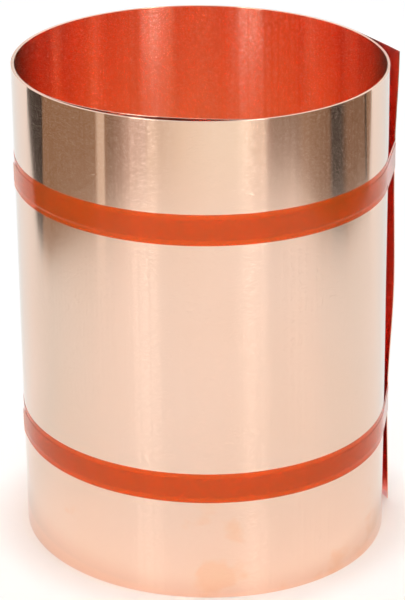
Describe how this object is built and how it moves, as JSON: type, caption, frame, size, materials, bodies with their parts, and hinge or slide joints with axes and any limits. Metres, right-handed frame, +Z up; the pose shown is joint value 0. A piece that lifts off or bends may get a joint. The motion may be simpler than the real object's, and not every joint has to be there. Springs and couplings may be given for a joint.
{
  "type": "roll of copper sheet",
  "caption": "Wide copper sheet wound into an open, hollow roll that stands on end, held shut by strips of orange tape, with its free outer end springing off.",
  "frame": {"origin": "centre of the footprint, on the surface that the roll stands on", "axes": "+Z up along the roll, +X towards the free outer end of the sheet, +Y behind the roll"},
  "size_m": [0.2762, 0.2743, 0.3556],
  "materials": {
    "copper": "bright rolled copper with fine lengthwise rolling lines",
    "orange_tape": "translucent orange strapping tape film"
  },
  "bodies": {
    "roll": {"wound_laps": "copper", "lead_out": "copper", "upper_tape_first_lap": "orange_tape", "upper_tape_second_lap": "orange_tape", "lower_tape_first_lap": "orange_tape", "lower_tape_second_lap": "orange_tape"},
    "inner_end": {"inner_flap": "copper"},
    "outer_end": {"outer_flap": "copper", "upper_tape_start": "orange_tape", "upper_tape_tail_pass": "orange_tape", "lower_tape_start": "orange_tape", "lower_tape_tail_pass": "orange_tape"},
    "upper_tape_end": {"upper_tape_cut_end": "orange_tape"},
    "lower_tape_end": {"lower_tape_cut_end": "orange_tape"}
  },
  "joints": [
    {"name": "inner_end_flex", "type": "hinge", "parent": "roll", "child": "inner_end", "pos_m": [-0.10823, -0.07695, 0.1778], "axis": [0, 0, 1], "range_deg": [0, 12], "stiffness_Nm_per_rad": 11},
    {"name": "outer_end_flex", "type": "hinge", "parent": "roll", "child": "outer_end", "pos_m": [0.12164, 0.04557, 0.1778], "axis": [0, 0, -1], "range_deg": [0, 7], "stiffness_Nm_per_rad": 33},
    {"name": "upper_tape_peel", "type": "hinge", "parent": "roll", "child": "upper_tape_end", "pos_m": [-0.13362, -0.03082, 0.27725], "axis": [0, 0, 1], "range_deg": [0, 120]},
    {"name": "lower_tape_peel", "type": "hinge", "parent": "roll", "child": "lower_tape_end", "pos_m": [-0.13362, -0.03082, 0.08445], "axis": [0, 0, 1], "range_deg": [0, 120]}
  ]
}
